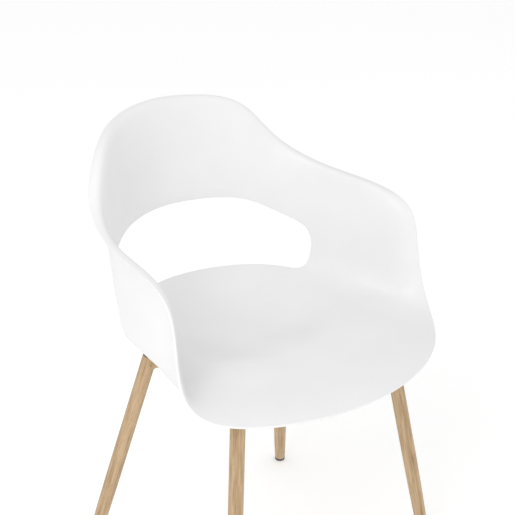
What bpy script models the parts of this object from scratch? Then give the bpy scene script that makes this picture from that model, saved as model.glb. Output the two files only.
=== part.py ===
# Tub armchair: one thin moulded shell on four splayed tube legs, each welded to a rail from a hub.
# Metres, +Z up. The sitter faces -Y and the feet stand on z = 0, so the sitter's right is -X.

import math

import bmesh
import bpy
from mathutils import Vector

SHELL_WALL = 0.0045
SHELL_EDGE_ROUND = 0.0012
SHELL_SUBDIVISIONS = 2
# Half of the shell, front to back, in millimetres: where the pan turns up into the wall, then the rim.
SHELL_STATIONS = (
    ("front middle", (0, -190, 453), (0, -287, 435)),
    ("front", (79, -173, 449), (96, -276, 435)),
    ("front quarter", (138, -150, 448), (190, -236, 435)),
    ("front corner", (190, -120, 448), (258, -174, 434)),
    ("arm foot", (236, -92, 457), (287, -125, 459)),
    ("arm front", (231, -50, 456), (281, -107, 543)),
    ("arm nose", (214, 1, 458), (282, -102, 631)),
    ("arm top", (207, 45, 460), (272, -9, 651)),
    ("arm rear", (200, 91, 465), (254, 99, 654)),
    ("shoulder", (184, 132, 468), (216, 192, 693)),
    ("back corner", (146, 181, 468), (168, 215, 775)),
    ("back", (81, 226, 465), (92, 270, 785)),
    ("back middle", (0, 249, 462), (0, 290, 793)),
)
# Sections from the turn-up to the rim, as shares of the way sideways, lengthways and up.
ARM_SECTION = ((0.50, 0.25, 0.13), (0.54, 0.40, 0.42), (0.58, 0.62, 0.83), (0.70, 0.80, 1.03))
BACK_SECTION = ((0.05, 0.05, 0.10), (0.19, 0.19, 0.42), (0.39, 0.39, 0.83), (0.55, 0.55, 1.03))
FRONT_SECTION = ((0.25, 0.25, 0.10), (0.48, 0.48, 0.28), (0.70, 0.70, 0.52), (0.87, 0.87, 0.76))
ARM_RISE = 0.15
BACK_BLEND_START = 7.0
BACK_BLEND_STATIONS = 3.5
OPENING_FIRST_STATION = 8
OPENING_FIRST_ROW = 1
OPENING_LAST_ROW = 3
PAN_SHARE = 0.72
PAN_CORNER_FRONT = 3
PAN_CORNER_BACK = 9
SEAT_LEVEL = 0.456
BOWL_DEPTH = 0.0275
BOWL_MIDDLE = 0.045
BOWL_HALF_WIDTH = 0.180
BOWL_REACH_FRONT = 0.140
BOWL_REACH_BACK = 0.190
BOWL_EDGE = 1.12
BOWL_FADE = 0.85
RIDGE_HEIGHT = 0.006
RIDGE_HALF_WIDTH = 0.040
RIDGE_MIDDLE = -0.045
RIDGE_HALF_LENGTH = 0.060

TUBE_RADIUS = 0.0126
TUBE_WALL = 0.0015
TUBE_SIDES = 16
# Height and radius up a leg's taper.
LEG_TAPER = ((0.008, 0.0098), (0.045, 0.0110), (0.105, 0.0120), (0.185, TUBE_RADIUS))
LEG_TOP = 0.4175
RAIL_HEIGHT = 0.4065
FRONT_FOOT = (0.244, -0.185)
FRONT_JOINT = (0.181, -0.136)
REAR_FOOT = (0.246, 0.193)
REAR_JOINT = (0.159, 0.107)

HUB_CENTRE = (0.0, -0.012)
HUB_RADIUS = 0.030
HUB_WALL = 0.003
HUB_HEIGHT = 0.029
BOLT_DISTANCE = 0.150

BOSS_RADIUS = 0.0105
BOSS_BOTTOM = 0.4235
BOSS_SINK = 0.0028
SPACER_RADIUS = 0.012
SPACER_REACH = 0.009
WASHER_RADIUS = 0.0085
WASHER_REACH = 0.005
WASHER_DROP = 0.0022
INSERT_RADIUS = 0.004
INSERT_LENGTH = 0.008
BOLT_RADIUS = 0.003
BOLT_LENGTH = 0.040
BOLT_HEAD_RADIUS = 0.0053
BOLT_HEAD_HEIGHT = 0.0035
BOLT_SOCKET_RADIUS = 0.0023
BOLT_SOCKET_DEPTH = 0.002
GAP = 0.0003

PARTS = "dining_chair"
CUTTERS = "dining_chair_cutters"


def clear_scene():
    for thing in list(bpy.data.objects):
        bpy.data.objects.remove(thing, do_unlink=True)


def new_collection(name):
    collection = bpy.data.collections.new(name)
    bpy.context.scene.collection.children.link(collection)
    return collection


def new_material(name, colour, roughness, metallic=0.0):
    material = bpy.data.materials.new(name)
    material.use_nodes = True
    principled = material.node_tree.nodes["Principled BSDF"]
    principled.inputs["Base Color"].default_value = (*colour, 1.0)
    principled.inputs["Roughness"].default_value = roughness
    principled.inputs["Metallic"].default_value = metallic
    material.diffuse_color = (*colour, 1.0)
    return material


def white_plastic():
    return new_material("white_polypropylene", (0.80, 0.80, 0.79), 0.42)


def oak_finish():
    return new_material("oak_finish_steel", (0.50, 0.33, 0.19), 0.45)


def black_nylon():
    return new_material("black_nylon", (0.02, 0.02, 0.02), 0.50)


def black_rubber():
    return new_material("black_rubber", (0.015, 0.015, 0.015), 0.75)


def zinc_steel():
    return new_material("zinc_plated_steel", (0.62, 0.62, 0.60), 0.32, 1.0)


def brass():
    return new_material("brass", (0.72, 0.53, 0.24), 0.30, 1.0)


def grey_nylon():
    return new_material("grey_nylon", (0.16, 0.15, 0.14), 0.55)


def smooth_step(share):
    share = min(max(share, 0.0), 1.0)
    return share * share * (3.0 - 2.0 * share)


def object_from_bmesh(name, shape, collection, smooth=True):
    mesh = bpy.data.meshes.new(name)
    shape.to_mesh(mesh)
    shape.free()
    if smooth:
        mesh.shade_smooth()
        mesh.set_sharp_from_angle(angle=math.radians(40))
    thing = bpy.data.objects.new(name, mesh)
    collection.objects.link(thing)
    return thing


def cylinder(name, collection, radius, bottom, top, sides, place=(0.0, 0.0)):
    """Upright cylinder between two heights."""
    shape = bmesh.new()
    bmesh.ops.create_cone(
        shape, cap_ends=True, segments=sides, radius1=radius, radius2=radius, depth=top - bottom
    )
    thing = object_from_bmesh(name, shape, collection)
    thing.location = (place[0], place[1], (top + bottom) / 2)
    return thing


def as_cutter(thing):
    thing.hide_render = True
    thing.display_type = "WIRE"
    return thing


def boolean(thing, other, operation="DIFFERENCE"):
    modifier = thing.modifiers.new(operation.lower() + " " + other.name, "BOOLEAN")
    modifier.operation = operation
    modifier.solver = "EXACT"
    modifier.object = other
    return modifier


def wall_section(station, rise):
    """Section shares at one station: waterfall at the front, flared wall at the arms, lean at the back."""
    upright = smooth_step((rise + 0.02) / (ARM_RISE + 0.02))
    behind = smooth_step((station - BACK_BLEND_START) / BACK_BLEND_STATIONS)
    section = []
    for front, arm, back in zip(FRONT_SECTION, ARM_SECTION, BACK_SECTION):
        standing = Vector(arm).lerp(Vector(back), behind)
        section.append(Vector(front).lerp(standing, upright))
    return section


def seat_height(x, y):
    """Height of the sitting surface: a bowl with a level edge and a low ridge between the thighs."""
    behind = y - BOWL_MIDDLE
    reach = BOWL_REACH_FRONT if behind < 0 else BOWL_REACH_BACK
    away = math.hypot(x / BOWL_HALF_WIDTH, behind / reach)
    depth = BOWL_DEPTH * smooth_step((BOWL_EDGE - away) / BOWL_FADE)
    along = (y - RIDGE_MIDDLE) / RIDGE_HALF_LENGTH
    ridge = RIDGE_HEIGHT * math.exp(-((x / RIDGE_HALF_WIDTH) ** 2) - along**2)
    return SEAT_LEVEL - depth + ridge


def shell_column(station):
    """Cage points of one station, from the pan's ring over the turn-up to the rim."""
    turn_up, rim = (Vector(point) / 1000 for point in SHELL_STATIONS[station][1:])
    way = rim - turn_up
    x, y = turn_up.x * PAN_SHARE, turn_up.y * PAN_SHARE
    column = [Vector((x, y, seat_height(x, y))), turn_up]
    for share in wall_section(station, way.z):
        column.append(turn_up + way * share)
    column.append(rim)
    return column


def pan_grid(ring):
    """Rows of points that fill the half ring of the pan, at the height of the sitting surface."""
    across = PAN_CORNER_FRONT
    along = PAN_CORNER_BACK - PAN_CORNER_FRONT
    front = ring[: across + 1]
    side = ring[across : PAN_CORNER_BACK + 1]
    back = list(reversed(ring[PAN_CORNER_BACK:]))
    grid = []
    for j in range(along + 1):
        v = j / along
        middle = front[0].lerp(back[0], v)
        row = []
        for i in range(across + 1):
            u = i / across
            rows = front[i].lerp(back[i], v)
            columns = middle.lerp(side[j], u)
            corners = front[0].lerp(front[-1], u).lerp(back[0].lerp(back[-1], u), v)
            point = rows + columns - corners
            point.z = seat_height(point.x, point.y)
            row.append(point)
        grid.append(row)
    return grid


def shell_cage():
    """Half cage of the shell's upper face, open on the middle plane and at the back opening."""
    columns = [shell_column(station) for station in range(len(SHELL_STATIONS))]
    cage = bmesh.new()
    points = [[cage.verts.new(point) for point in column] for column in columns]
    for station in range(len(points) - 1):
        for row in range(len(points[0]) - 1):
            behind = station >= OPENING_FIRST_STATION
            if behind and OPENING_FIRST_ROW <= row < OPENING_LAST_ROW:
                continue
            here, beyond = points[station], points[station + 1]
            cage.faces.new((here[row], here[row + 1], beyond[row + 1], beyond[row]))
    grid = pan_grid([column[0] for column in columns])
    last = len(grid) - 1
    across = PAN_CORNER_FRONT
    pan = []
    for j, row in enumerate(grid):
        line = []
        for i, point in enumerate(row):
            if j == 0:
                line.append(points[i][0])
            elif j == last:
                line.append(points[len(points) - 1 - i][0])
            elif i == across:
                line.append(points[across + j][0])
            else:
                line.append(cage.verts.new(point))
        pan.append(line)
    for near, far in zip(pan, pan[1:]):
        for i in range(across):
            cage.faces.new((near[i], near[i + 1], far[i + 1], far[i]))
    bmesh.ops.recalc_face_normals(cage, faces=cage.faces)
    if sum(face.normal.z * face.calc_area() for face in cage.faces) < 0:
        bmesh.ops.reverse_faces(cage, faces=cage.faces)
    return cage


def add_boss(name, cutters, place):
    """Mounting boss under the pan. Its top follows the sitting surface, inside the wall."""
    boss = cylinder("boss_" + name, cutters, BOSS_RADIUS, BOSS_BOTTOM, SEAT_LEVEL, 16, place)
    for vertex in boss.data.vertices:
        if vertex.co.z > 0:
            surface = seat_height(vertex.co.x + place[0], vertex.co.y + place[1])
            vertex.co.z = surface - BOSS_SINK - boss.location.z
    return as_cutter(boss)


def add_shell(parts, cutters, bolt_places):
    shell = object_from_bmesh("seat_shell", shell_cage(), parts, smooth=False)
    shell.data.shade_smooth()
    shell.data.materials.append(white_plastic())
    mirror = shell.modifiers.new("other half", "MIRROR")
    mirror.use_axis = (True, False, False)
    mirror.use_clip = True
    mirror.merge_threshold = 0.0001
    smooth = shell.modifiers.new("smooth shell", "SUBSURF")
    smooth.levels = SHELL_SUBDIVISIONS
    smooth.render_levels = SHELL_SUBDIVISIONS
    wall = shell.modifiers.new("wall", "SOLIDIFY")
    wall.thickness = SHELL_WALL
    wall.offset = -1.0
    wall.use_even_offset = True
    edge = shell.modifiers.new("rounded edge", "BEVEL")
    edge.width = SHELL_EDGE_ROUND
    edge.segments = 1
    edge.limit_method = "ANGLE"
    edge.angle_limit = math.radians(50)
    for name, place in bolt_places.items():
        boolean(shell, add_boss(name, cutters, place), "UNION")
    for name, place in bolt_places.items():
        pocket = cylinder(
            "pocket_" + name,
            cutters,
            INSERT_RADIUS + GAP,
            BOSS_BOTTOM - 0.002,
            BOSS_BOTTOM + INSERT_LENGTH + 2 * GAP,
            12,
            place,
        )
        boolean(shell, as_cutter(pocket))
    return shell


def slope_up(foot, joint):
    """Unit vector up a leg's axis, which passes through its joint with the rail."""
    return (Vector((*joint, RAIL_HEIGHT)) - Vector((*foot, 0.0))).normalized()


def add_leg(name, foot, joint, parts):
    """Straight splayed tube, tapered towards the foot and open at both ends."""
    up = slope_up(foot, joint)
    low = LEG_TAPER[0][0]
    outside = [((height - low) / up.z, radius) for height, radius in LEG_TAPER]
    outside.append(((LEG_TOP - low) / up.z, TUBE_RADIUS))
    profile = [(radius, along) for along, radius in outside]
    profile += [(radius - TUBE_WALL, along) for along, radius in reversed(outside)]
    leg = turned(name, profile, parts, TUBE_SIDES, ring=True)
    leg.location = Vector((*foot, 0.0)) + up * (low / up.z)
    leg.rotation_euler = up.to_track_quat("Z", "Y").to_euler()
    leg.data.materials.append(oak_finish())
    return leg


def add_leg_cap(name, foot, joint, parts):
    """Plug that closes the top of a leg."""
    up = slope_up(foot, joint)
    stem = TUBE_RADIUS - TUBE_WALL - GAP
    profile = (
        (0.0, -0.008),
        (stem, -0.008),
        (stem, GAP),
        (TUBE_RADIUS, GAP),
        (TUBE_RADIUS - 0.0008, 0.0022),
        (0.0, 0.0022),
    )
    cap = turned(name, profile, parts, TUBE_SIDES)
    cap.location = Vector((*foot, 0.0)) + up * (LEG_TOP / up.z)
    cap.rotation_euler = up.to_track_quat("Z", "Y").to_euler()
    cap.data.materials.append(black_nylon())


def add_rail(name, foot, joint, parts, cutters, bolt_place):
    """Level tube from a leg to the hub, coped to both and drilled for its bolt."""
    hub = Vector((*HUB_CENTRE, RAIL_HEIGHT))
    reach = Vector((*joint, RAIL_HEIGHT)) - hub
    profile = (
        (TUBE_RADIUS, 0.0),
        (TUBE_RADIUS, reach.length),
        (TUBE_RADIUS - TUBE_WALL, reach.length),
        (TUBE_RADIUS - TUBE_WALL, 0.0),
    )
    rail = turned(name, profile, parts, TUBE_SIDES, ring=True)
    rail.location = hub
    rail.rotation_euler = reach.to_track_quat("Z", "Y").to_euler()
    rail.data.materials.append(oak_finish())
    low, high = RAIL_HEIGHT - 0.03, RAIL_HEIGHT + 0.03
    cope = cylinder("hub_cope_" + name, cutters, HUB_RADIUS + GAP, low, high, 36, HUB_CENTRE)
    boolean(rail, as_cutter(cope))
    cope = cylinder("leg_cope_" + name, cutters, TUBE_RADIUS + GAP, -0.04, 0.04, 32)
    cope.location = Vector((*joint, RAIL_HEIGHT))
    cope.rotation_euler = slope_up(foot, joint).to_track_quat("Z", "Y").to_euler()
    boolean(rail, as_cutter(cope))
    drill = cylinder("drill_" + name, cutters, BOLT_RADIUS + 0.0005, low, high, 12, bolt_place)
    boolean(rail, as_cutter(drill))


def add_hub(parts):
    ring = bmesh.new()
    bmesh.ops.create_cone(
        ring, cap_ends=False, segments=36, radius1=HUB_RADIUS, radius2=HUB_RADIUS, depth=HUB_HEIGHT
    )
    hub = object_from_bmesh("hub_ring", ring, parts)
    hub.location = (*HUB_CENTRE, RAIL_HEIGHT)
    hub.data.materials.append(oak_finish())
    wall = hub.modifiers.new("hub wall", "SOLIDIFY")
    wall.thickness = HUB_WALL
    wall.offset = -1.0
    profile = (
        (0.0, -0.0015),
        (HUB_RADIUS - 0.002, -0.0015),
        (HUB_RADIUS - 0.001, -GAP),
        (HUB_RADIUS - HUB_WALL - GAP, -GAP),
        (HUB_RADIUS - HUB_WALL - GAP, 0.005),
        (HUB_RADIUS - HUB_WALL - 0.002, 0.005),
        (HUB_RADIUS - HUB_WALL - 0.002, 0.001),
        (0.0, 0.001),
    )
    plug = turned("hub_plug", profile, parts, 28)
    plug.location = (*HUB_CENTRE, RAIL_HEIGHT - HUB_HEIGHT / 2)
    plug.data.materials.append(black_nylon())


def turned(name, profile, collection, sides, ring=False):
    """Turned piece about its own Z, from (radius, height) points that run up its outer side."""
    shape = bmesh.new()
    line = [shape.verts.new((radius, 0.0, height)) for radius, height in reversed(profile)]
    for first, second in zip(line, line[1:]):
        shape.edges.new((first, second))
    if ring:
        shape.edges.new((line[-1], line[0]))
    thing = object_from_bmesh(name, shape, collection, smooth=False)
    screw = thing.modifiers.new("turned", "SCREW")
    screw.steps = sides
    screw.render_steps = sides
    screw.use_merge_vertices = True
    screw.merge_threshold = 0.00001
    screw.use_smooth_shade = True
    return thing


def rail_space(name, joint, cutters):
    """Cylinder along a rail, one gap larger than the tube, to shape what saddles it."""
    hub = Vector((*HUB_CENTRE, RAIL_HEIGHT))
    reach = Vector((*joint, RAIL_HEIGHT)) - hub
    cutter = cylinder("rail_space_" + name, cutters, TUBE_RADIUS + GAP, 0.0, reach.length, 32)
    cutter.location = hub + reach / 2
    cutter.rotation_euler = reach.to_track_quat("Z", "Y").to_euler()
    return as_cutter(cutter)


def add_fixing(name, place, joint, parts, cutters):
    """Spacer, washer, bolt and insert of one corner, all on the bolt's axis."""
    rail = rail_space(name, joint, cutters)
    drill_radius = BOLT_RADIUS + GAP
    spacer = cylinder(
        "spacer_" + name, parts, SPACER_RADIUS, BOSS_BOTTOM - GAP - SPACER_REACH, BOSS_BOTTOM - GAP, 16, place
    )
    spacer.data.materials.append(black_rubber())
    washer_bottom = RAIL_HEIGHT - TUBE_RADIUS - WASHER_DROP
    washer = cylinder(
        "washer_" + name, parts, WASHER_RADIUS, washer_bottom, washer_bottom + WASHER_REACH, 16, place
    )
    washer.data.materials.append(zinc_steel())
    bore = cylinder(
        "bore_" + name, cutters, drill_radius, washer_bottom - 0.01, BOSS_BOTTOM + 0.01, 12, place
    )
    as_cutter(bore)
    for piece in (spacer, washer):
        boolean(piece, rail)
        boolean(piece, bore)
    head_top = washer_bottom - GAP
    bolt = turned("bolt_" + name, bolt_profile(), parts, 14)
    bolt.location = (*place, head_top)
    bolt.data.materials.append(zinc_steel())
    socket = cylinder(
        "socket_" + name,
        cutters,
        BOLT_SOCKET_RADIUS,
        head_top - BOLT_HEAD_HEIGHT - 0.001,
        head_top - BOLT_HEAD_HEIGHT + BOLT_SOCKET_DEPTH,
        6,
        place,
    )
    boolean(bolt, as_cutter(socket))
    insert = turned("insert_" + name, insert_profile(), parts, 12, ring=True)
    insert.location = (*place, BOSS_BOTTOM + GAP)
    insert.data.materials.append(brass())


def bolt_profile():
    """Button head below z = 0 and shank above it."""
    head, tall = BOLT_HEAD_RADIUS, BOLT_HEAD_HEIGHT
    return (
        (0.0, -tall),
        (head * 0.62, -tall),
        (head * 0.90, -tall * 0.62),
        (head, -tall * 0.20),
        (head, 0.0),
        (BOLT_RADIUS, 0.0),
        (BOLT_RADIUS, BOLT_LENGTH),
        (0.0, BOLT_LENGTH),
    )


def insert_profile():
    """Closed ring, slightly tapered at its leading end."""
    outer, inner, tall = INSERT_RADIUS, BOLT_RADIUS + GAP, INSERT_LENGTH
    return (
        (inner, 0.0),
        (outer, 0.0),
        (outer, tall * 0.70),
        (outer - 0.0004, tall),
        (inner, tall),
    )


def add_glide(name, foot, joint, parts, cutters):
    """Plug in the open foot of a leg, with its pad trimmed level with the floor."""
    up = slope_up(foot, joint)
    height, radius = LEG_TAPER[0]
    stem = radius - TUBE_WALL - GAP
    profile = (
        (0.0, -0.012),
        (radius - 0.0008, -0.012),
        (radius, -0.006),
        (radius, -GAP),
        (stem, -GAP),
        (stem, 0.015),
        (stem - 0.0015, 0.0165),
        (0.0, 0.0165),
    )
    glide = turned(name, profile, parts, 18)
    glide.location = Vector((*foot, 0.0)) + up * (height / up.z)
    glide.rotation_euler = up.to_track_quat("Z", "Y").to_euler()
    glide.data.materials.append(grey_nylon())
    below = bmesh.new()
    bmesh.ops.create_cube(below, size=0.06)
    floor = object_from_bmesh("floor_" + name, below, cutters, smooth=False)
    floor.location = (foot[0], foot[1], -0.03)
    boolean(glide, as_cutter(floor))


def corners():
    """Name, foot and rail joint of each leg. The sitter's right is -X."""
    for end, foot, joint in (("front", FRONT_FOOT, FRONT_JOINT), ("rear", REAR_FOOT, REAR_JOINT)):
        for side, sign in (("right", -1), ("left", 1)):
            yield end + "_" + side, (foot[0] * sign, foot[1]), (joint[0] * sign, joint[1])


def bolt_place(joint):
    """Plan position of a corner's bolt, on its rail."""
    hub = Vector(HUB_CENTRE)
    place = hub + (Vector(joint) - hub).normalized() * BOLT_DISTANCE
    return (place.x, place.y)


def build():
    clear_scene()
    parts = new_collection(PARTS)
    cutters = new_collection(CUTTERS)
    cutters.hide_render = True
    places = {name: bolt_place(joint) for name, foot, joint in corners()}
    add_shell(parts, cutters, places)
    add_hub(parts)
    for name, foot, joint in corners():
        add_leg("leg_" + name, foot, joint, parts)
        add_leg_cap("leg_cap_" + name, foot, joint, parts)
        add_rail("rail_" + name, foot, joint, parts, cutters, places[name])
        add_glide("glide_" + name, foot, joint, parts, cutters)
        add_fixing(name, places[name], joint, parts, cutters)


build()
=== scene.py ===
import math

import bmesh
import bpy
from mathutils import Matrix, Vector


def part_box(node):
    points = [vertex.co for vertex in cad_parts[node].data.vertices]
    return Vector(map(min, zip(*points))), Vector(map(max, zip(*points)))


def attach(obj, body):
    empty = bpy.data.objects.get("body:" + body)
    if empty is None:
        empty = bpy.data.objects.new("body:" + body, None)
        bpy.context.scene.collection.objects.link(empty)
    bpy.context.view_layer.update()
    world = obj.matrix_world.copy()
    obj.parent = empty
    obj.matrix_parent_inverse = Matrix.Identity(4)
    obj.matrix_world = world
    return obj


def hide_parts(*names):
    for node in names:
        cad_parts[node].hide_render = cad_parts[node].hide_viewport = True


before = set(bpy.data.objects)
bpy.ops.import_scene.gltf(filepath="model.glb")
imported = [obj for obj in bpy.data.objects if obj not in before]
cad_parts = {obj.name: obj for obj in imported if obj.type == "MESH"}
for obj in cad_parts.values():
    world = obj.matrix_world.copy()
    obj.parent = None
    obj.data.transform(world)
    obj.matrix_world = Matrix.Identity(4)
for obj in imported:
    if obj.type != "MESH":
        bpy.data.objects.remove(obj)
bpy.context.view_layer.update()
print("frame loaded,", len(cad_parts), "nodes")

# small helpers

def smoothStep(share):
    share = min(max(share, 0.0), 1.0)
    return share * share * (3 - 2 * share)


def mix(first, second, share):
    return first + (second - first) * share


def pieceFromBmesh(name, shape):
    mesh = bpy.data.meshes.new(name)
    shape.to_mesh(mesh)
    shape.free()
    piece = bpy.data.objects.new(name, mesh)
    bpy.context.scene.collection.objects.link(piece)
    return piece


def turnedShape(name, profile, sides, ring=False):
    # profile is (radius, height) pairs running up the outer side
    shape = bmesh.new()
    rows = []
    for radius, height in profile:
        if radius == 0:
            rows.append([shape.verts.new((0, 0, height))])
            continue
        row = []
        for k in range(sides):
            turn = 2 * math.pi * k / sides
            row.append(shape.verts.new((radius * math.cos(turn), radius * math.sin(turn), height)))
        rows.append(row)
    pairs = list(zip(rows, rows[1:]))
    if ring:
        pairs.append((rows[-1], rows[0]))
    for low, high in pairs:
        for k in range(sides):
            j = (k + 1) % sides
            if len(low) == 1:
                shape.faces.new((low[0], high[j], high[k]))
            elif len(high) == 1:
                shape.faces.new((low[k], low[j], high[0]))
            else:
                shape.faces.new((low[k], low[j], high[j], high[k]))
    return pieceFromBmesh(name, shape)


def upright(name, radius, low, high, sides, place=(0, 0)):
    shape = turnedShape(name, ((0, low), (radius, low), (radius, high), (0, high)), sides)
    shape.location = (place[0], place[1], 0)
    return shape


def aimAlong(piece, start, direction):
    piece.location = start
    piece.rotation_euler = direction.to_track_quat("Z", "Y").to_euler()


def settle(piece, sharpAngle=35):
    # bake the modifiers into the mesh and shade it
    bpy.context.view_layer.update()
    evaluated = piece.evaluated_get(bpy.context.evaluated_depsgraph_get())
    mesh = bpy.data.meshes.new_from_object(evaluated)
    mesh.name = piece.name
    piece.modifiers.clear()
    piece.data = mesh
    mesh.shade_smooth()
    mesh.set_sharp_from_angle(angle=math.radians(sharpAngle))


def carve(piece, tools, operation="DIFFERENCE", angle=35):
    for tool in tools:
        step = piece.modifiers.new(operation, "BOOLEAN")
        step.operation = operation
        step.solver = "EXACT"
        step.object = tool
    settle(piece, angle)
    for tool in tools:
        bpy.data.objects.remove(tool, do_unlink=True)


def keepInside(piece, box):
    # draw the mesh in by a hair where it stands outside the box
    for axis in range(3):
        spots = [vert.co[axis] for vert in piece.data.vertices]
        first, last = min(spots), max(spots)
        low, high = max(first, box[0][axis]), min(last, box[1][axis])
        share = (high - low) / (last - first)
        for vert in piece.data.vertices:
            vert.co[axis] = low + (vert.co[axis] - first) * share


def bakePlace(piece):
    # write the object's place into its mesh
    piece.data.transform(piece.matrix_basis)
    piece.matrix_basis.identity()


def roundEdges(piece, width, segments=2, angle=35):
    step = piece.modifiers.new("rounded edges", "BEVEL")
    step.width = width
    step.segments = segments
    step.limit_method = "ANGLE"
    step.angle_limit = math.radians(angle)
    step.harden_normals = False


def finishPiece(piece, material, slotName, *nodes):
    piece.data.materials.clear()
    piece.data.materials.append(material)
    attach(piece, "root")
    if nodes:
        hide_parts(*nodes)


# materials

def startMaterial(name):
    material = bpy.data.materials.new(name)
    material.use_nodes = True
    tree = material.node_tree
    return material, tree, tree.nodes["Principled BSDF"]


def addNode(tree, kind, inputs=None, **settings):
    node = tree.nodes.new(kind)
    for key, value in settings.items():
        setattr(node, key, value)
    for key, value in (inputs or {}).items():
        node.inputs[key].default_value = value
    return node


def fillRamp(ramp, stops):
    elements = ramp.color_ramp.elements
    while len(elements) > 1:
        elements.remove(elements[-1])
    elements[0].position, elements[0].color = stops[0][0], (*stops[0][1], 1)
    for position, colour in stops[1:]:
        element = elements.new(position)
        element.color = (*colour, 1)


def objectPoints(tree, stretch=(1, 1, 1)):
    place = addNode(tree, "ShaderNodeTexCoord")
    mapping = addNode(tree, "ShaderNodeMapping", {"Scale": stretch})
    tree.links.new(place.outputs["Object"], mapping.inputs["Vector"])
    return mapping.outputs["Vector"]


def noiseNode(tree, points, size, detail, **more):
    noise = addNode(tree, "ShaderNodeTexNoise", {"Scale": size, "Detail": detail, **more})
    tree.links.new(points, noise.inputs["Vector"])
    return noise.outputs["Fac"]


def varyRoughness(tree, shader, value, ends):
    spread = addNode(tree, "ShaderNodeMapRange", {"To Min": ends[0], "To Max": ends[1]})
    tree.links.new(value, spread.inputs["Value"])
    tree.links.new(spread.outputs["Result"], shader.inputs["Roughness"])


plasticLook = {
    "pale": (0.843, 0.843, 0.843),
    "deep": (0.815, 0.815, 0.815),
    "tintRange": (0.3, 0.7),
    "blotchSize": 9.0,
    "grainSize": 2600.0,     # fine spark texture of the mould
    "grainHeight": 0.00002,
    "grainStrength": 0.5,
    "waveSize": 160.0,       # slow waviness of the moulded skin
    "waveHeight": 0.00004,
    "waveStrength": 0.35,
    "roughness": (0.36, 0.46),
    "ior": 1.49,
}


def whitePlastic():
    look = plasticLook
    material, tree, shader = startMaterial("satinWhitePlastic")
    points = objectPoints(tree)
    tint = addNode(tree, "ShaderNodeValToRGB")
    low, high = look["tintRange"]
    fillRamp(tint, ((low, look["deep"]), (high, look["pale"])))
    tree.links.new(noiseNode(tree, points, look["blotchSize"], 3.0), tint.inputs["Fac"])
    tree.links.new(tint.outputs["Color"], shader.inputs["Base Color"])
    grain = noiseNode(tree, points, look["grainSize"], 2.0)
    varyRoughness(tree, shader, grain, look["roughness"])
    waves = noiseNode(tree, points, look["waveSize"], 1.0)
    depth = {"Strength": look["waveStrength"], "Distance": look["waveHeight"]}
    slow = addNode(tree, "ShaderNodeBump", depth)
    tree.links.new(waves, slow.inputs["Height"])
    depth = {"Strength": look["grainStrength"], "Distance": look["grainHeight"]}
    fine = addNode(tree, "ShaderNodeBump", depth)
    tree.links.new(grain, fine.inputs["Height"])
    tree.links.new(slow.outputs["Normal"], fine.inputs["Normal"])
    tree.links.new(fine.outputs["Normal"], shader.inputs["Normal"])
    shader.inputs["IOR"].default_value = look["ior"]
    return material


oakLook = {
    "light": (0.560, 0.400, 0.240),
    "middle": (0.440, 0.295, 0.160),
    "dark": (0.300, 0.185, 0.092),
    "pore": (0.195, 0.112, 0.050),
    "colourStops": (0.34, 0.46, 0.56, 0.68),    # dark, middle, light, middle again
    "streakSize": 420.0,     # grain lines across the tube
    "streakLength": 0.035,   # how much slower they change along it
    "streakShare": 0.55,     # the bands give the rest of the colour
    "bandSize": 62.0,
    "bandLength": 0.10,
    "poreSize": 1500.0,
    "poreLength": 0.045,
    "poreRange": (0.60, 0.72),
    "poreDepth": 0.55,
    "poreHeight": 0.00006,
    "poreStrength": 0.25,
    "roughness": (0.34, 0.50),
}


def oakFinish():
    look = oakLook
    material, tree, shader = startMaterial("oakFinish")
    points = objectPoints(tree, (1, 1, look["streakLength"]))
    streaks = noiseNode(tree, points, look["streakSize"], 5.0, Roughness=0.62, Distortion=0.35)
    points = objectPoints(tree, (1, 1, look["bandLength"]))
    bands = noiseNode(tree, points, look["bandSize"], 3.0, Distortion=0.8)
    bandPart = addNode(tree, "ShaderNodeMath", operation="MULTIPLY")
    bandPart.inputs[1].default_value = 1 - look["streakShare"]
    tree.links.new(bands, bandPart.inputs[0])
    grain = addNode(tree, "ShaderNodeMath", operation="MULTIPLY_ADD")
    grain.inputs[1].default_value = look["streakShare"]
    tree.links.new(streaks, grain.inputs[0])
    tree.links.new(bandPart.outputs["Value"], grain.inputs[2])
    wood = addNode(tree, "ShaderNodeValToRGB")
    tones = (look["dark"], look["middle"], look["light"], look["middle"])
    fillRamp(wood, list(zip(look["colourStops"], tones)))
    tree.links.new(grain.outputs["Value"], wood.inputs["Fac"])
    pores = noiseNode(tree, objectPoints(tree, (1, 1, look["poreLength"])), look["poreSize"], 1.0)
    low, high = look["poreRange"]
    poreMask = addNode(tree, "ShaderNodeMapRange", {"From Min": low, "From Max": high}, clamp=True)
    tree.links.new(pores, poreMask.inputs["Value"])
    poreAmount = addNode(tree, "ShaderNodeMath", operation="MULTIPLY")
    poreAmount.inputs[1].default_value = look["poreDepth"]
    tree.links.new(poreMask.outputs["Result"], poreAmount.inputs[0])
    colour = addNode(tree, "ShaderNodeMix", data_type="RGBA")
    colour.inputs["B"].default_value = (*look["pore"], 1)
    tree.links.new(poreAmount.outputs["Value"], colour.inputs["Factor"])
    tree.links.new(wood.outputs["Color"], colour.inputs["A"])
    tree.links.new(colour.outputs["Result"], shader.inputs["Base Color"])
    varyRoughness(tree, shader, streaks, look["roughness"])
    bump = {"Strength": look["poreStrength"], "Distance": look["poreHeight"]}
    sunk = addNode(tree, "ShaderNodeBump", bump, invert=True)
    tree.links.new(poreMask.outputs["Result"], sunk.inputs["Height"])
    tree.links.new(sunk.outputs["Normal"], shader.inputs["Normal"])
    return material


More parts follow.
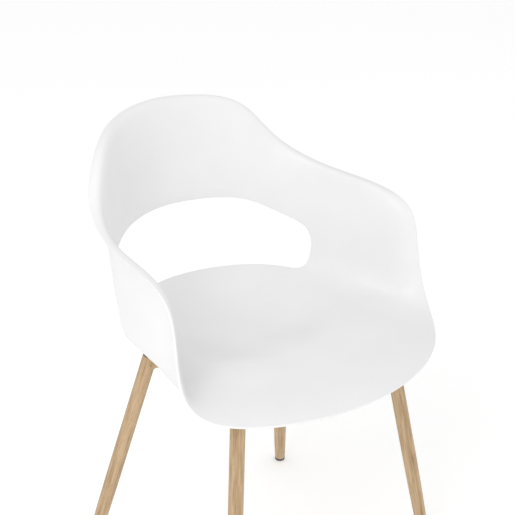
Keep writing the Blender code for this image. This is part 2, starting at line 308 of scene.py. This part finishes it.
smallLooks = {
    # darkest and palest colour, roughness from and to, metal, size of the mottle
    "blackNylon": ((0.010, 0.010, 0.010), (0.022, 0.022, 0.022), (0.42, 0.58), 0.0, 1800.0),
    "blackRubber": ((0.008, 0.008, 0.008), (0.018, 0.018, 0.017), (0.68, 0.85), 0.0, 1200.0),
    "greyNylon": ((0.085, 0.080, 0.074), (0.125, 0.118, 0.110), (0.40, 0.60), 0.0, 900.0),
    "zincSteel": ((0.52, 0.52, 0.50), (0.70, 0.70, 0.67), (0.22, 0.40), 1.0, 700.0),
    "brass": ((0.60, 0.43, 0.17), (0.76, 0.57, 0.27), (0.24, 0.38), 1.0, 900.0),
}


def smallMaterial(name):
    deep, pale, roughness, metal, size = smallLooks[name]
    material, tree, shader = startMaterial(name)
    mottle = noiseNode(tree, objectPoints(tree), size, 3.0)
    tint = addNode(tree, "ShaderNodeValToRGB")
    fillRamp(tint, ((0.3, deep), (0.7, pale)))
    tree.links.new(mottle, tint.inputs["Fac"])
    tree.links.new(tint.outputs["Color"], shader.inputs["Base Color"])
    varyRoughness(tree, shader, mottle, roughness)
    bump = addNode(tree, "ShaderNodeBump", {"Strength": 0.3, "Distance": 0.00003})
    tree.links.new(mottle, bump.inputs["Height"])
    tree.links.new(bump.outputs["Normal"], shader.inputs["Normal"])
    shader.inputs["Metallic"].default_value = metal
    return material


plastic = whitePlastic()
oak = oakFinish()
nylon = smallMaterial("blackNylon")
rubber = smallMaterial("blackRubber")
greyNylon = smallMaterial("greyNylon")
zinc = smallMaterial("zincSteel")
brassMetal = smallMaterial("brass")
print("materials ready")

# sizes of the frame, and where each corner stands

frameSizes = {
    "tube": 0.0126,
    "tubeWall": 0.0015,
    "sides": 64,
    "taper": ((0.008, 0.0098), (0.045, 0.0110), (0.105, 0.0120), (0.185, 0.0126)),   # height, radius
    "taperSteps": 36,
    "taperSmooth": 0.02,
    "legEdgeRound": 0.0004,
    "legTop": 0.4175,
    "railHeight": 0.4065,
    "frontFoot": (0.244, -0.185),
    "frontJoint": (0.181, -0.136),
    "rearFoot": (0.246, 0.193),
    "rearJoint": (0.159, 0.107),
    "hubCentre": (0.0, -0.012),
    "hubRadius": 0.030,
    "hubWall": 0.003,
    "hubHeight": 0.029,
    "hubEdgeRound": 0.0006,
    "gap": 0.0003,
    "boltFromHub": 0.150,
    "boltHole": 0.0035,
    "cutSpan": (0.37, 0.44),   # heights between which upright cutters pass the rails
    "cutReach": 0.04,          # half length of a cutter along a leg
}


def cornerList():
    sizes = frameSizes
    corners = []
    for end in ("front", "rear"):
        for side, sign in (("right", -1), ("left", 1)):
            foot = Vector((sizes[end + "Foot"][0] * sign, sizes[end + "Foot"][1], 0))
            joint = Vector((sizes[end + "Joint"][0] * sign, sizes[end + "Joint"][1], sizes["railHeight"]))
            corners.append((end + "_" + side, foot, joint))
    return corners


def boltPlace(joint):
    hub = Vector((*frameSizes["hubCentre"], frameSizes["railHeight"]))
    return hub + (joint - hub).normalized() * frameSizes["boltFromHub"]


# the moulded shell

shellSizes = {
    "wall": 0.0045,
    "edgeRound": 0.0016,
    "bossRadius": 0.0105,
    "bossBottom": 0.4235,
    "bossSink": 0.0028,      # how far the boss's top stays under the sitting surface
    "bossRound": 0.0006,
    "pocket": (0.0043, 0.0086),   # radius and depth of the insert's hole
    "pocketStart": 0.002,
    "smoothing": 3,
    # half of the shell from front to back, in millimetres: turn-up of the pan, then rim
    "stations": (
        ((0, -190, 453), (0, -287, 435)),
        ((79, -173, 449), (96, -276, 435)),
        ((138, -150, 448), (190, -236, 435)),
        ((190, -120, 448), (258, -174, 434)),
        ((236, -92, 457), (287, -125, 459)),   # foot of the arm
        ((231, -50, 456), (281, -107, 543)),
        ((214, 1, 458), (282, -102, 631)),     # nose of the arm
        ((207, 45, 460), (272, -9, 651)),
        ((200, 91, 465), (254, 99, 654)),
        ((184, 132, 468), (216, 192, 693)),    # shoulder
        ((146, 181, 468), (168, 215, 775)),
        ((81, 226, 465), (92, 270, 785)),
        ((0, 249, 462), (0, 290, 793)),
    ),
    # shares of the way sideways, lengthways and up, from turn-up to rim
    "armSection": ((0.50, 0.25, 0.13), (0.54, 0.40, 0.42), (0.58, 0.62, 0.83), (0.70, 0.80, 1.03)),
    "backSection": ((0.05, 0.05, 0.10), (0.19, 0.19, 0.42), (0.39, 0.39, 0.83), (0.55, 0.55, 1.03)),
    "frontSection": ((0.25, 0.25, 0.10), (0.48, 0.48, 0.28), (0.70, 0.70, 0.52), (0.87, 0.87, 0.76)),
    "armRise": 0.15,           # rise at which a wall has the arm's section in full
    "armDip": 0.02,            # and how far below level it starts
    "backStart": 7.0,
    "backBlend": 3.5,
    "openingStation": 8,
    "openingRows": (1, 3),
    "panShare": 0.72,
    "panCorners": (3, 9),
    # the sitting bowl: level at its edge, depth, edge and fade as shares of its reach
    "seatLevel": 0.4560,
    "bowlDepth": 0.0275,
    "bowlEdge": 1.12,
    "bowlFade": 0.85,
    "bowlPlace": (0.0, 0.045),
    "bowlReach": (0.180, 0.140, 0.190),        # sideways, forward, backward
    "ridge": (0.0060, 0.040, -0.045, 0.060),   # height, half width, middle and half length
    # where the sculpted seat fades into the walls: middle, half width and half length, fade
    "seatPatch": ((0.0, 0.015), (0.205, 0.195), 0.35),
    "patchSquareness": 2.6,
    "patchTop": 0.50,
}


def seatHeight(x, y):
    sizes = shellSizes
    across = (x - sizes["bowlPlace"][0]) / sizes["bowlReach"][0]
    behind = y - sizes["bowlPlace"][1]
    along = behind / sizes["bowlReach"][1 if behind < 0 else 2]
    depth = smoothStep((sizes["bowlEdge"] - math.hypot(across, along)) / sizes["bowlFade"])
    rise, width, middle, length = sizes["ridge"]
    ridge = rise * math.exp(-((x / width) ** 2) - ((y - middle) / length) ** 2)
    return sizes["seatLevel"] - sizes["bowlDepth"] * depth + ridge


def shellColumn(index):
    sizes = shellSizes
    turnUp, rim = (Vector(point) / 1000 for point in sizes["stations"][index])
    way = rim - turnUp
    standing = smoothStep((way.z + sizes["armDip"]) / (sizes["armRise"] + sizes["armDip"]))
    behind = smoothStep((index - sizes["backStart"]) / sizes["backBlend"])
    panX, panY = turnUp.x * sizes["panShare"], turnUp.y * sizes["panShare"]
    column = [Vector((panX, panY, seatHeight(panX, panY))), turnUp]
    for front, arm, back in zip(sizes["frontSection"], sizes["armSection"], sizes["backSection"]):
        share = Vector(front).lerp(Vector(arm).lerp(Vector(back), behind), standing)
        column.append(turnUp + way * share)
    column.append(rim)
    return column


def sculptSeat(shell):
    # the fine surface of the pan follows the bowl and fades into the walls
    middle, reach, fade = shellSizes["seatPatch"]
    power = shellSizes["patchSquareness"]
    for vert in shell.data.vertices:
        x, y = vert.co.x, vert.co.y
        if vert.co.z > shellSizes["patchTop"]:
            continue
        across, along = abs(x - middle[0]) / reach[0], abs(y - middle[1]) / reach[1]
        share = smoothStep((1.0 - (across**power + along**power) ** (1 / power)) / fade)
        vert.co.z = mix(vert.co.z, seatHeight(x, y), share)


def panPoints(ring):
    first, last = shellSizes["panCorners"]
    front, side, back = ring[: first + 1], ring[first : last + 1], ring[last:][::-1]
    along = last - first
    grid = []
    for j in range(along + 1):
        v = j / along
        row = []
        for i in range(first + 1):
            u = i / first
            point = front[i].lerp(back[i], v) + front[0].lerp(back[0], v).lerp(side[j], u)
            point = point - front[0].lerp(front[-1], u).lerp(back[0].lerp(back[-1], u), v)
            point.z = seatHeight(point.x, point.y)
            row.append(point)
        grid.append(row)
    return grid


def makeBoss(place):
    # its top follows the sitting surface, inside the wall
    low, radius, edge = (shellSizes[key] for key in ("bossBottom", "bossRadius", "bossRound"))
    high = shellSizes["seatLevel"]
    profile = ((0, low), (radius - edge, low), (radius, low + edge), (radius, high), (0, high))
    boss = turnedShape("boss", profile, 48)
    for vert in boss.data.vertices:
        vert.co.x += place.x
        vert.co.y += place.y
        if vert.co.z > low + edge * 2:
            vert.co.z = seatHeight(vert.co.x, vert.co.y) - shellSizes["bossSink"]
    return boss


def shellCage():
    # half of the shell as single faces, without those of the back opening
    columns = [shellColumn(index) for index in range(len(shellSizes["stations"]))]
    cage = bmesh.new()
    verts = [[cage.verts.new(point) for point in column] for column in columns]
    lowRow, highRow = shellSizes["openingRows"]
    for index in range(len(verts) - 1):
        for row in range(len(verts[0]) - 1):
            if index >= shellSizes["openingStation"] and lowRow <= row < highRow:
                continue
            here, beyond = verts[index], verts[index + 1]
            cage.faces.new((here[row], here[row + 1], beyond[row + 1], beyond[row]))
    grid = panPoints([column[0] for column in columns])
    first = shellSizes["panCorners"][0]
    lines = []
    for j, row in enumerate(grid):
        line = []
        for i, point in enumerate(row):
            if j == 0:
                line.append(verts[i][0])
            elif j == len(grid) - 1:
                line.append(verts[len(verts) - 1 - i][0])
            elif i == first:
                line.append(verts[first + j][0])
            else:
                line.append(cage.verts.new(point))
        lines.append(line)
    for near, far in zip(lines, lines[1:]):
        for i in range(first):
            cage.faces.new((near[i], near[i + 1], far[i + 1], far[i]))
    bmesh.ops.recalc_face_normals(cage, faces=cage.faces)
    if sum(face.normal.z * face.calc_area() for face in cage.faces) < 0:
        bmesh.ops.reverse_faces(cage, faces=cage.faces)
    return cage


def makeShell(bossPlaces):
    sizes = shellSizes
    shell = pieceFromBmesh("seatShell", shellCage())
    shell.data.shade_smooth()
    half = shell.modifiers.new("other half", "MIRROR")
    half.use_clip = True
    half.merge_threshold = 0.0001
    soft = shell.modifiers.new("smooth", "SUBSURF")
    soft.levels = soft.render_levels = sizes["smoothing"]
    settle(shell, sharpAngle=180)
    sculptSeat(shell)
    wall = shell.modifiers.new("wall", "SOLIDIFY")
    wall.thickness = sizes["wall"]
    wall.offset = -1
    wall.use_even_offset = True
    roundEdges(shell, sizes["edgeRound"], segments=3, angle=50)
    settle(shell, sharpAngle=60)
    carve(shell, [makeBoss(place) for place in bossPlaces], "UNION", angle=60)
    radius, depth = sizes["pocket"]
    low, high = sizes["bossBottom"] - sizes["pocketStart"], sizes["bossBottom"] + depth
    pockets = [upright("pocket", radius, low, high, 32, place) for place in bossPlaces]
    carve(shell, pockets, angle=60)
    keepInside(shell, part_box("seat_shell"))
    print("shell wall made,", len(shell.data.polygons), "faces")
    return shell


shell = makeShell([boltPlace(joint) for name, foot, joint in cornerList()])
finishPiece(shell, plastic, "shell_plastic", "seat_shell")

# legs, rails and hub

def legRadius(height):
    # straight between the taper's sizes
    taper = frameSizes["taper"]
    if height >= taper[-1][0]:
        return taper[-1][1]
    for (low, thin), (high, thick) in zip(taper, taper[1:]):
        if height <= high:
            return mix(thin, thick, (height - low) / (high - low))
    return taper[0][1]


def makeLeg(name, foot, joint):
    sizes = frameSizes
    up = (joint - foot).normalized()
    low, high = sizes["taper"][0][0], sizes["taper"][-1][0]
    steps, smooth = sizes["taperSteps"], sizes["taperSmooth"]
    outside = []
    for k in range(steps + 1):
        height = mix(low, high + smooth, k / steps)
        # averaged over a short stretch, so the taper's corners are soft
        near = [legRadius(height + smooth * share) for share in (-1, -0.5, 0, 0.5, 1)]
        outside.append((sum(near) / len(near) if k else near[2], (height - low) / up.z))
    outside.append((sizes["tube"], (sizes["legTop"] - low) / up.z))
    inside = [(radius - sizes["tubeWall"], along) for radius, along in reversed(outside)]
    leg = turnedShape("leg_" + name, outside + inside, sizes["sides"], ring=True)
    aimAlong(leg, foot + up * (low / up.z), up)
    roundEdges(leg, sizes["legEdgeRound"], segments=2, angle=50)
    settle(leg)
    return leg


def makeRail(name, foot, joint):
    sizes = frameSizes
    hub = Vector((*sizes["hubCentre"], sizes["railHeight"]))
    reach = joint - hub
    outer, inner = sizes["tube"], sizes["tube"] - sizes["tubeWall"]
    rail = turnedShape(
        "rail_" + name,
        ((outer, 0), (outer, reach.length), (inner, reach.length), (inner, 0)),
        sizes["sides"],
        ring=True,
    )
    aimAlong(rail, hub, reach)
    low, high = sizes["cutSpan"]
    hubTool = upright("hubTool", sizes["hubRadius"] + sizes["gap"], low, high, 96, sizes["hubCentre"])
    legTool = upright("legTool", sizes["tube"] + sizes["gap"], -sizes["cutReach"], sizes["cutReach"], 96)
    aimAlong(legTool, joint, joint - foot)
    drillTool = upright("drillTool", sizes["boltHole"], low, high, 24, boltPlace(joint))
    carve(rail, [hubTool, legTool, drillTool])
    return rail


weldSizes = {
    "bead": 0.0016,
    "knots": 72,
    "ripple": 0.12,      # share by which the bead's thickness varies
    "rippleTurn": 1.9,   # radians from one knot to the next
}


def weldRing(name, start, direction, axisPoint, axis, radius, otherRadius):
    # bead where a tube from start along direction meets a round tube
    side = direction.cross(Vector((0, 0, 1))).normalized()
    rise = side.cross(direction).normalized()
    points = []
    for k in range(weldSizes["knots"]):
        turn = 2 * math.pi * k / weldSizes["knots"]
        origin = start + side * (radius * math.cos(turn)) + rise * (radius * math.sin(turn))
        across = direction - axis * direction.dot(axis)
        offset = (origin - axisPoint) - axis * (origin - axisPoint).dot(axis)
        a = across.dot(across)
        b = 2 * across.dot(offset)
        c = offset.dot(offset) - otherRadius**2
        inside = max(b * b - 4 * a * c, 0.0)
        points.append(origin + direction * ((-b - math.sqrt(inside)) / (2 * a)))
    curve = bpy.data.curves.new(name, "CURVE")
    curve.dimensions = "3D"
    curve.bevel_depth = weldSizes["bead"]
    curve.bevel_resolution = 4
    spline = curve.splines.new("POLY")
    spline.points.add(len(points) - 1)
    spline.use_cyclic_u = True
    for k, (knot, point) in enumerate(zip(spline.points, points)):
        knot.co = (*point, 1)
        knot.radius = 1.0 + weldSizes["ripple"] * math.sin(k * weldSizes["rippleTurn"])
    guide = bpy.data.objects.new(name, curve)
    bpy.context.scene.collection.objects.link(guide)
    bpy.context.view_layer.update()
    mesh = bpy.data.meshes.new_from_object(guide.evaluated_get(bpy.context.evaluated_depsgraph_get()))
    bpy.data.objects.remove(guide, do_unlink=True)
    bead = bpy.data.objects.new(name, mesh)
    bpy.context.scene.collection.objects.link(bead)
    mesh.shade_smooth()
    return bead


capSizes = {
    "stem": 0.008,    # how far it reaches down into the leg
    "side": 0.0012,
    "crown": ((0.0004, 0.0018), (0.0012, 0.0022)),   # in from the edge, and height
}


def makeCap(name, foot, joint):
    sizes = frameSizes
    up = (joint - foot).normalized()
    outer, gap, stem = sizes["tube"], sizes["gap"], capSizes["stem"]
    inner = outer - sizes["tubeWall"] - gap
    profile = [(0, -stem), (inner, -stem), (inner, gap), (outer, gap), (outer, capSizes["side"])]
    profile += [(outer - inset, height) for inset, height in capSizes["crown"]]
    profile.append((0, profile[-1][1]))
    cap = turnedShape("legCap_" + name, profile, 48)
    aimAlong(cap, foot + up * (sizes["legTop"] / up.z), up)
    settle(cap)
    return cap


glideSizes = {
    # the pad's side from the bottom up: in from the leg's edge, and height
    "padSide": ((0.0008, -0.012), (0.0001, -0.006), (0.0, -0.0008), (0.0003, -0.0003)),
    "stem": 0.015,
    "stemTip": (0.0015, 0.0165),   # in from the stem, and height
    "edgeRound": 0.0005,
}


def makeGlide(name, foot, joint):
    sizes = frameSizes
    up = (joint - foot).normalized()
    low, radius = sizes["taper"][0]
    stem = radius - sizes["tubeWall"] - sizes["gap"]
    side, (tipInset, tipHeight) = glideSizes["padSide"], glideSizes["stemTip"]
    profile = [(0, side[0][1])] + [(radius - inset, height) for inset, height in side]
    profile += [(stem, side[-1][1]), (stem, glideSizes["stem"]), (stem - tipInset, tipHeight), (0, tipHeight)]
    glide = turnedShape("glide_" + name, profile, 48)
    aimAlong(glide, foot + up * (low / up.z), up)
    # the pad is trimmed level with the floor
    floorTool = upright("floorTool", sizes["cutReach"], -sizes["cutReach"], 0.0, 16, (foot.x, foot.y))
    carve(glide, [floorTool])
    roundEdges(glide, glideSizes["edgeRound"], segments=2, angle=40)
    settle(glide)
    bakePlace(glide)
    return glide


for name, foot, joint in cornerList():
    up = (joint - foot).normalized()
    hub = Vector((*frameSizes["hubCentre"], frameSizes["railHeight"]))
    outward = (joint - hub).normalized()
    finishPiece(makeLeg(name, foot, joint), oak, "oak_finish", "leg_" + name)
    finishPiece(makeRail(name, foot, joint), oak, "oak_finish", "rail_" + name)
    finishPiece(makeCap(name, foot, joint), nylon, "black_nylon", "leg_cap_" + name)
    finishPiece(makeGlide(name, foot, joint), greyNylon, "grey_nylon", "glide_" + name)
    tube = frameSizes["tube"]
    bead = weldRing("weldLeg_" + name, hub, outward, joint, up, tube, tube)
    finishPiece(bead, oak, "oak_finish")
    bead = weldRing("weldHub_" + name, joint, -outward, hub, Vector((0, 0, 1)), tube, frameSizes["hubRadius"])
    finishPiece(bead, oak, "oak_finish")
print("legs and rails made")


def makeHub():
    sizes = frameSizes
    outer, half = sizes["hubRadius"], sizes["hubHeight"] / 2
    inner = outer - sizes["hubWall"]
    profile = ((outer, -half), (outer, half), (inner, half), (inner, -half))
    hub = turnedShape("hubRing", profile, 96, ring=True)
    hub.location = (*sizes["hubCentre"], sizes["railHeight"])
    roundEdges(hub, sizes["hubEdgeRound"], segments=3, angle=50)
    settle(hub)
    return hub


plugSizes = {
    "dimple": ((0, -0.0012), (0.006, -0.0012), (0.0066, -0.0015)),       # radius and height
    "flange": ((0.002, -0.0015), (0.0012, -0.0010), (0.001, -0.0003)),   # in from the hub's edge, and height
    "skirt": (0.002, 0.005),   # in from the hub's bore, and height
    "floor": 0.001,
}


def makePlug():
    sizes = frameSizes
    outer = sizes["hubRadius"]
    bore, gap = outer - sizes["hubWall"], sizes["gap"]
    inset, top = plugSizes["skirt"]
    profile = list(plugSizes["dimple"])
    profile += [(outer - edge, height) for edge, height in plugSizes["flange"]]
    profile += [(bore - gap, -gap), (bore - gap, top), (bore - inset, top)]
    profile += [(bore - inset, plugSizes["floor"]), (0, plugSizes["floor"])]
    plug = turnedShape("hubPlug", profile, 96)
    plug.location = (*sizes["hubCentre"], sizes["railHeight"] - sizes["hubHeight"] / 2)
    settle(plug)
    return plug


finishPiece(makeHub(), oak, "oak_finish", "hub_ring")
finishPiece(makePlug(), nylon, "black_nylon", "hub_plug")
print("hub made")

# fixings stay as the frame has them, with their own finishes

fixingFinish = {"spacer": rubber, "washer": zinc, "bolt": zinc, "insert": brassMetal}

for nodeName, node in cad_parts.items():
    finish = fixingFinish.get(nodeName.split("_")[0])
    if finish:
        node.data.materials.clear()
        node.data.materials.append(finish)
print("fixings finished")

# floor, light and camera

studio = {
    "sky": 0.83,
    "floorColour": (0.90, 0.90, 0.90),
    "floorGlow": 0.21,
    "floorRoughness": 0.9,
    "floorHalf": 9,
    "lampSize": 1.2,
    "aim": (0, 0, 0.5),
    # place and watts of each softbox
    "lamps": {
        "frontLeft": ((-2.08, -2.08, 1.12), 6.5),
        "leftFront": ((-2.31, -1.08, 2.09), 13.5),
        "highLeft": ((-1.72, 0.0, 2.96), 7.0),
        "right": ((2.93, 0.0, 1.12), 1.7),
        "rightFront": ((1.89, -2.25, 1.12), 1.4),
    },
}


def makeStudio():
    world = bpy.data.worlds.new("studio")
    bpy.context.scene.world = world
    world.use_nodes = True
    sky = world.node_tree.nodes["Background"]
    sky.inputs["Color"].default_value = (1, 1, 1, 1)
    sky.inputs["Strength"].default_value = studio["sky"]
    for name, (place, watts) in studio["lamps"].items():
        lamp = bpy.data.lights.new(name, "AREA")
        lamp.shape = "DISK"
        lamp.size = studio["lampSize"]
        lamp.energy = watts
        light = bpy.data.objects.new(name, lamp)
        bpy.context.scene.collection.objects.link(light)
        light.location = place
        away = Vector(place) - Vector(studio["aim"])
        light.rotation_euler = away.to_track_quat("Z", "Y").to_euler()
    shape = bmesh.new()
    bmesh.ops.create_grid(shape, x_segments=8, y_segments=8, size=studio["floorHalf"])
    floor = pieceFromBmesh("floor", shape)
    material, _, shader = startMaterial("paleFloor")
    shader.inputs["Base Color"].default_value = (*studio["floorColour"], 1)
    shader.inputs["Roughness"].default_value = studio["floorRoughness"]
    shader.inputs["Emission Color"].default_value = (1, 1, 1, 1)
    shader.inputs["Emission Strength"].default_value = studio["floorGlow"]
    floor.data.materials.append(material)


cameraSetting = {
    "place": (-1.6586, -1.6940, 1.6650),
    "tilt": 24.51,     # degrees below level
    "turn": -44.31,    # degrees about the vertical
    "sensor": 36,
    "lens": 109.05,
}


def makeCamera():
    turn, tilt = math.radians(cameraSetting["turn"]), math.radians(cameraSetting["tilt"])
    camera = bpy.data.objects.new("camera", bpy.data.cameras.new("camera"))
    bpy.context.scene.collection.objects.link(camera)
    camera.location = cameraSetting["place"]
    camera.rotation_euler = (math.pi / 2 - tilt, 0, turn)
    camera.data.sensor_width = cameraSetting["sensor"]
    camera.data.lens = cameraSetting["lens"]
    bpy.context.scene.camera = camera


makeStudio()
makeCamera()
bpy.context.scene.view_settings.view_transform = "Standard"
print("studio ready")
